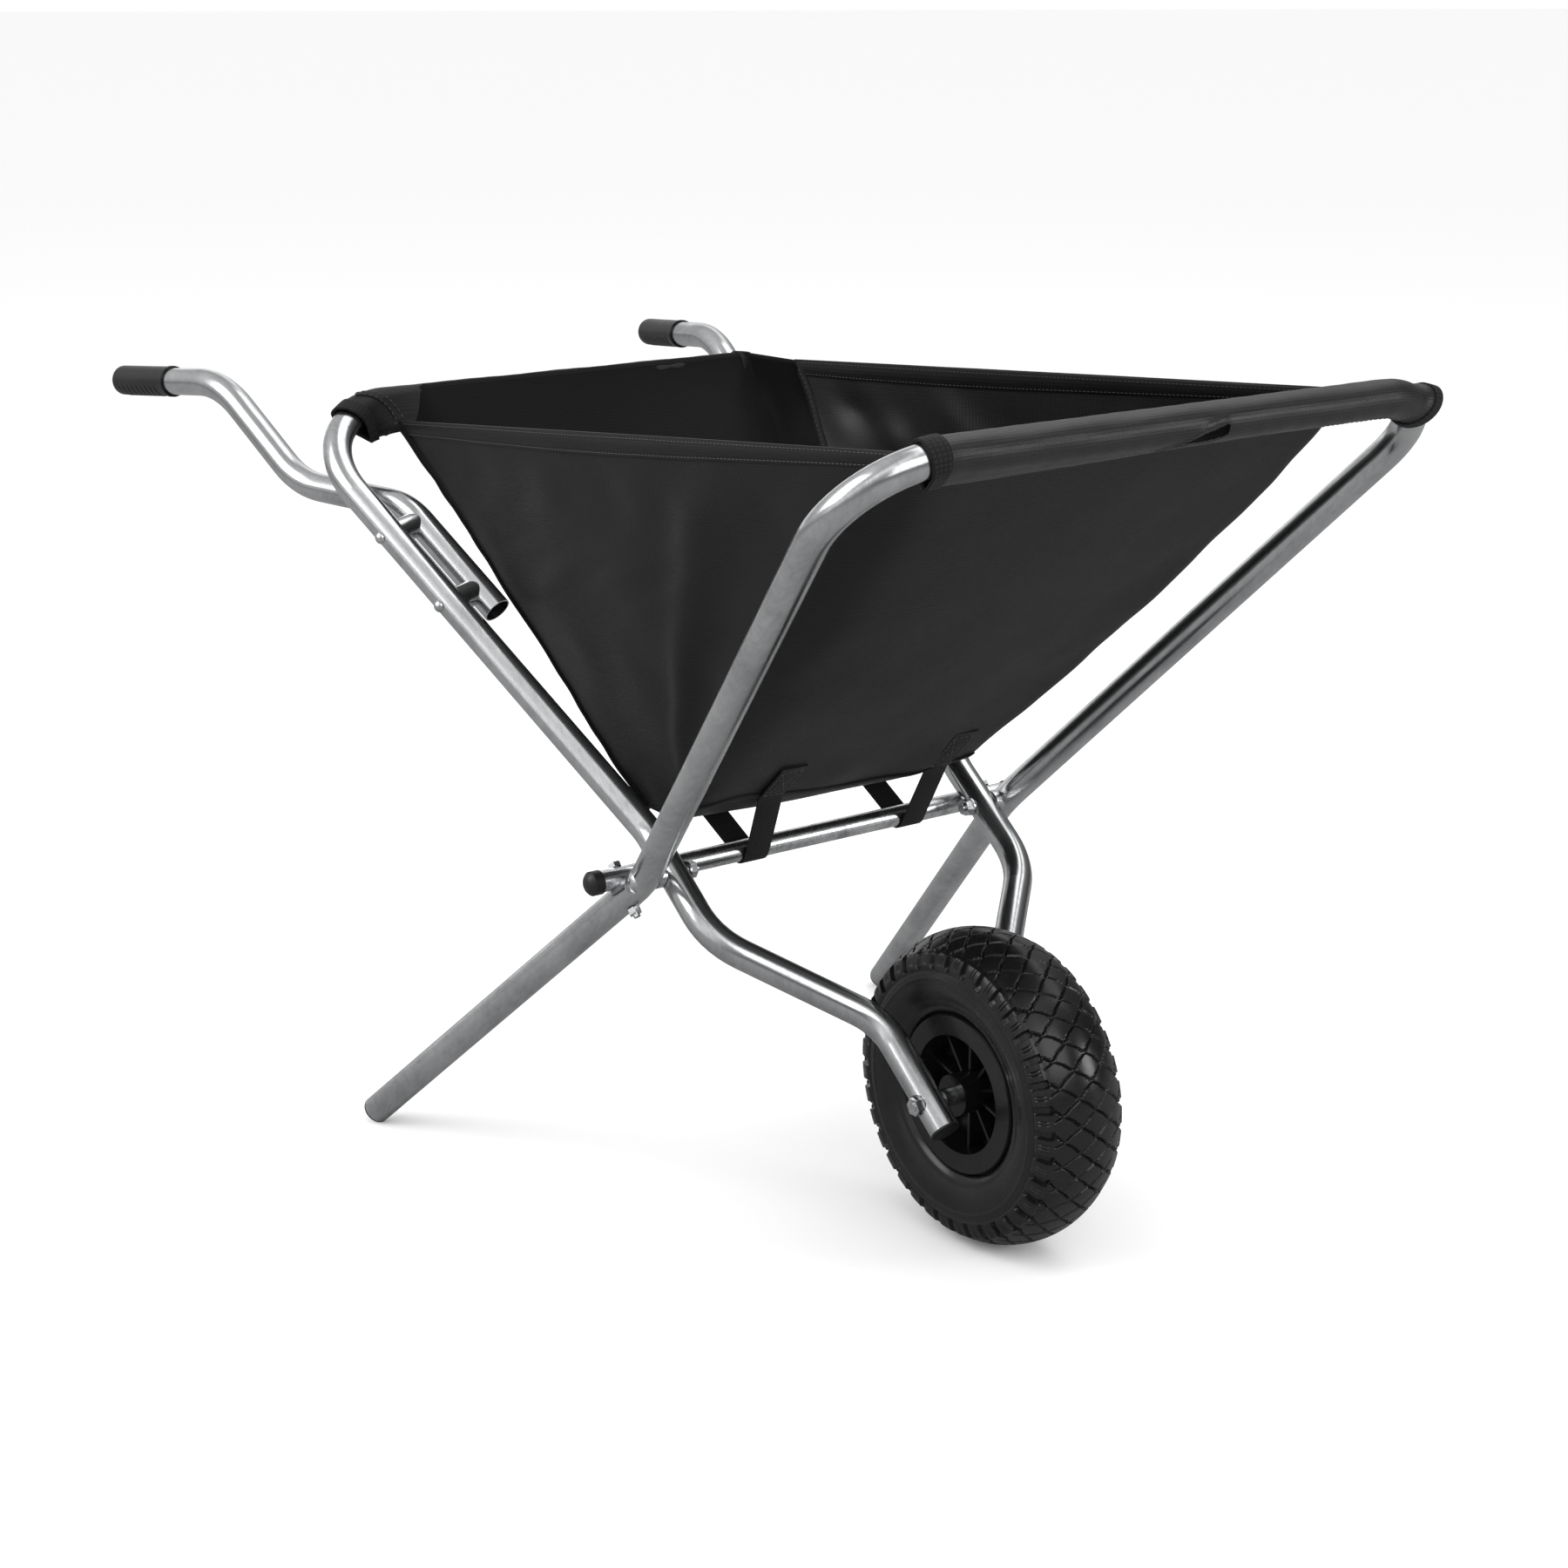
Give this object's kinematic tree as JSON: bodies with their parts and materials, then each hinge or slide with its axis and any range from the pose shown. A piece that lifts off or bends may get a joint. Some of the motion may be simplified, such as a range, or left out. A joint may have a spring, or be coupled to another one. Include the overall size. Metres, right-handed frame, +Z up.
{
  "type": "folding wheelbarrow",
  "caption": "Folding wheelbarrow: crossed bent tube frames hold a cloth sack between their bars, with curved handles, a fork and one pneumatic wheel at the front",
  "frame": {"origin": "on the ground, under the middle of the bounding box", "axes": "+X forward towards the wheel, +Y to the left, +Z up"},
  "size_m": [1.1378, 0.6272, 0.702],
  "materials": {
    "galvanised_tube": "galvanised",
    "zinc": "bright zinc plated",
    "black_plastic": "moulded black",
    "grip": "ribbed soft black",
    "tyre": "black rubber",
    "tube_rubber": "black rubber",
    "sack_cloth": "black coated woven polyester",
    "webbing": "black woven webbing"
  },
  "bodies": {
    "wheel_frame": {"wheel_frame_tube": "galvanised_tube", "fork_end_plugs": "black_plastic", "handle_tube_left": "galvanised_tube", "handle_tube_right": "galvanised_tube", "grip_left": "grip", "grip_right": "grip", "handle_saddles": "galvanised_tube", "handle_bolts": "zinc", "handle_nuts": "zinc", "axle_bolt": "zinc", "axle_nut": "zinc", "axle_washers": "zinc", "axle_sleeve": "zinc", "axle_collars": "zinc", "rear_hem": "sack_cloth", "rear_hem_bindings": "webbing", "sack_rear_panel": "sack_cloth", "sack_gusset_left": "sack_cloth", "sack_gusset_right": "sack_cloth"},
    "leg_frame": {"leg_frame_tube": "galvanised_tube", "foot_plugs": "black_plastic", "cross_rod": "zinc", "rod_end_caps": "black_plastic", "rod_bolts": "zinc", "rod_nuts": "zinc", "pivot_bolts": "zinc", "pivot_washers": "zinc", "pivot_spacers": "zinc", "pivot_nuts": "zinc", "front_hem": "sack_cloth", "front_hem_bindings": "webbing", "sack_front_panel": "sack_cloth", "sack_bottom": "sack_cloth", "strap_loop_left": "webbing", "strap_loop_right": "webbing"},
    "wheel": {"rim": "black_plastic", "hub_bushes": "black_plastic", "tyre": "tyre", "inner_tube": "tube_rubber", "valve_stem": "tube_rubber", "valve_cap": "black_plastic"}
  },
  "joints": [
    {"name": "fold", "type": "hinge", "parent": "wheel_frame", "child": "leg_frame", "pos_m": [0.15925, 0, 0.2868], "axis": [0, -1, 0], "range_deg": [0, 85], "deforming": ["sack_gusset_left", "sack_gusset_right"]},
    {"name": "wheel_spin", "type": "hinge", "parent": "wheel_frame", "child": "wheel", "pos_m": [0.36655, 0, 0.13], "axis": [0, 1, 0], "continuous": true}
  ]
}
